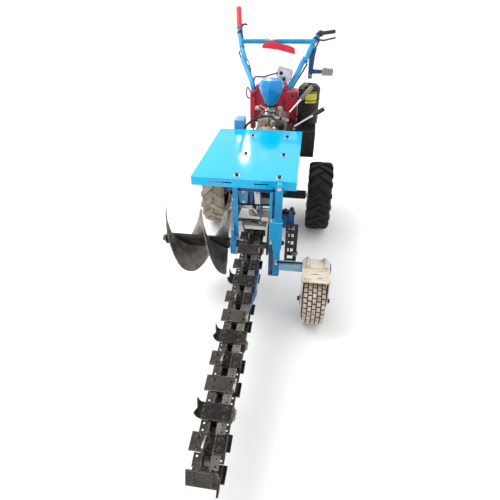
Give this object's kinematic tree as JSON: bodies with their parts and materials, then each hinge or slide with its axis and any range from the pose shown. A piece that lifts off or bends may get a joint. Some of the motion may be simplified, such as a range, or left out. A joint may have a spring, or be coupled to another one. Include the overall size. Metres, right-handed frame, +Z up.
{
  "type": "walk-behind chain trencher",
  "caption": "Two-wheel walk-behind trencher with a chain boom, soil auger, depth wheel on a sliding leg, sheet deck, engine and handlebars.",
  "frame": {"origin": "on the ground under the middle of the machine's bounding box", "axes": "+Z up, +Y back towards the handlebars, -Y towards the boom tip, +X towards the depth wheel's side"},
  "size_m": [0.945, 2.9868, 1.3065],
  "materials": {
    "aluminium": "sand-cast aluminium",
    "black_paint": "satin black paint",
    "black_plastic": "black moulded plastic",
    "black_rubber": "matt black rubber",
    "bright_steel": "bright steel",
    "cast_metal": "rough cast iron",
    "cream_paint": "cream paint with chips",
    "dark_steel": "oiled dark steel",
    "deep_blue": "darker blue frame paint",
    "grey_plastic": "light grey moulded plastic",
    "red_paint": "satin red paint",
    "red_rubber": "red moulded rubber",
    "sky_blue": "glossy bright blue paint over sheet and tube",
    "tyre_rubber": "black tyre rubber, dusty",
    "worn_steel": "bare steel, worn and soil-stained"
  },
  "bodies": {
    "chassis": {"transaxle_case": "cast_metal", "axle_housing": "black_paint", "deck_cover": "sky_blue", "frame_rail_left": "deep_blue", "frame_rail_right": "deep_blue", "frame_front_beam": "deep_blue", "frame_saddle": "deep_blue", "left_post": "sky_blue", "right_channel": "deep_blue", "leg_sleeve": "sky_blue", "drive_case": "sky_blue", "transfer_chain": "dark_steel", "engine_block": "cast_metal", "cylinder_head": "aluminium", "air_cleaner_neck": "bright_steel", "air_cleaner_cap": "sky_blue", "engine_cowl": "red_paint", "upright_left": "red_paint", "upright_right": "red_paint", "side_guard": "black_paint", "muffler_can": "black_paint", "control_box": "grey_plastic", "rear_cover": "sky_blue", "fuel_hose": "black_rubber", "lower_handle_left": "sky_blue", "lower_handle_right": "sky_blue"},
    "wheels": {"axle_shaft": "bright_steel", "tyre_left": "tyre_rubber", "tyre_right": "tyre_rubber", "rim_left": "black_paint", "rim_right": "black_paint"},
    "leg": {"leg_tube": "sky_blue", "cross_arm": "sky_blue", "adjuster_rack": "black_paint", "wheel_bracket": "cream_paint", "depth_axle": "bright_steel"},
    "depth_wheel": {"depth_tyre": "tyre_rubber", "depth_rim": "cream_paint"},
    "pto": {"pto_shaft": "bright_steel"},
    "cross_drive": {"cross_shaft": "bright_steel"},
    "digger_drive": {"drive_shaft": "worn_steel", "auger": "worn_steel"},
    "boom": {"boom_bar": "sky_blue", "digging_chain": "dark_steel"},
    "tip": {"tip_sprocket": "worn_steel"},
    "handlebar": {"handlebar_left": "sky_blue", "handlebar_right": "sky_blue", "handle_crossbar": "sky_blue", "grip_left": "red_rubber", "grip_right": "black_rubber", "side_bar": "deep_blue", "side_pedal": "grey_plastic"},
    "clutch": {"clutch_lever": "red_rubber"},
    "brake": {"brake_lever": "black_plastic"},
    "throttle": {"throttle_lever": "black_plastic"},
    "gear": {"gear_lever": "bright_steel", "gear_lever_grip": "black_rubber"},
    "range": {"range_lever": "bright_steel", "range_lever_grip": "black_rubber"},
    "switch": {"switch_knob": "black_plastic"}
  },
  "joints": [
    {"name": "wheel_spin", "type": "hinge", "parent": "chassis", "child": "wheels", "pos_m": [0.0325, 0.46823, 0.235], "axis": [1, 0, 0], "continuous": true},
    {"name": "leg_slide", "type": "slide", "parent": "chassis", "child": "leg", "axis": [0, 0, 1], "range_m": [-0.1, 0.06]},
    {"name": "depth_wheel_spin", "type": "hinge", "parent": "leg", "child": "depth_wheel", "pos_m": [0.3745, -0.49177, 0.128], "axis": [1, 0, 0], "continuous": true},
    {"name": "drive_spin", "type": "hinge", "parent": "chassis", "child": "digger_drive", "pos_m": [0.0325, -0.29677, 0.31], "axis": [1, 0, 0], "continuous": true},
    {"name": "cross_spin", "type": "hinge", "parent": "chassis", "child": "cross_drive", "pos_m": [-0.0075, -0.16677, 0.476], "axis": [1, 0, 0], "continuous": true},
    {"name": "pto_spin", "type": "hinge", "parent": "chassis", "child": "pto", "pos_m": [-0.0075, -0.16677, 0.476], "axis": [0, 1, 0], "continuous": true},
    {"name": "boom_pivot", "type": "hinge", "parent": "chassis", "child": "boom", "pos_m": [0.0325, -0.29677, 0.31], "axis": [1, 0, 0], "range_deg": [-20, 50]},
    {"name": "tip_spin", "type": "hinge", "parent": "boom", "child": "tip", "pos_m": [0.0325, -1.40067, 0.18032], "axis": [1, 0, 0], "continuous": true},
    {"name": "handlebar_tilt", "type": "hinge", "parent": "chassis", "child": "handlebar", "pos_m": [0.0325, 1.17323, 0.985], "axis": [1, 0, 0], "range_deg": [-25, 20]},
    {"name": "clutch_squeeze", "type": "hinge", "parent": "handlebar", "child": "clutch", "pos_m": [-0.0275, 1.26923, 1.07], "axis": [0, 1, 0], "range_deg": [0, 14], "stiffness_Nm_per_rad": 3, "springref_deg": -5.73},
    {"name": "brake_squeeze", "type": "hinge", "parent": "handlebar", "child": "brake", "pos_m": [0.3225, 1.37323, 1.094], "axis": [0, -1, 0], "range_deg": [0, 7], "stiffness_Nm_per_rad": 2, "springref_deg": -11.46},
    {"name": "throttle_turn", "type": "hinge", "parent": "handlebar", "child": "throttle", "pos_m": [-0.285, 1.41323, 1.188], "axis": [-0.1186, 0.5364, 0.8356], "range_deg": [-20, 20]},
    {"name": "gear_shift", "type": "hinge", "parent": "chassis", "child": "gear", "pos_m": [0.136, 0.70523, 0.68], "axis": [1, 0, 0], "range_deg": [-3, 18]},
    {"name": "range_shift", "type": "hinge", "parent": "chassis", "child": "range", "pos_m": [0.1845, 0.64523, 0.6455], "axis": [0, 1, 0], "range_deg": [-10, 15]},
    {"name": "switch_turn", "type": "hinge", "parent": "chassis", "child": "switch", "pos_m": [0.0605, 0.95723, 0.934], "axis": [0, 1, 0], "range_deg": [-60, 60]}
  ],
  "couplings": [
    {"joint": "cross_spin", "follows": "drive_spin", "ratio": 1.6071},
    {"joint": "pto_spin", "follows": "drive_spin", "ratio": -1.6071},
    {"joint": "tip_spin", "follows": "drive_spin", "ratio": 1.3333}
  ]
}
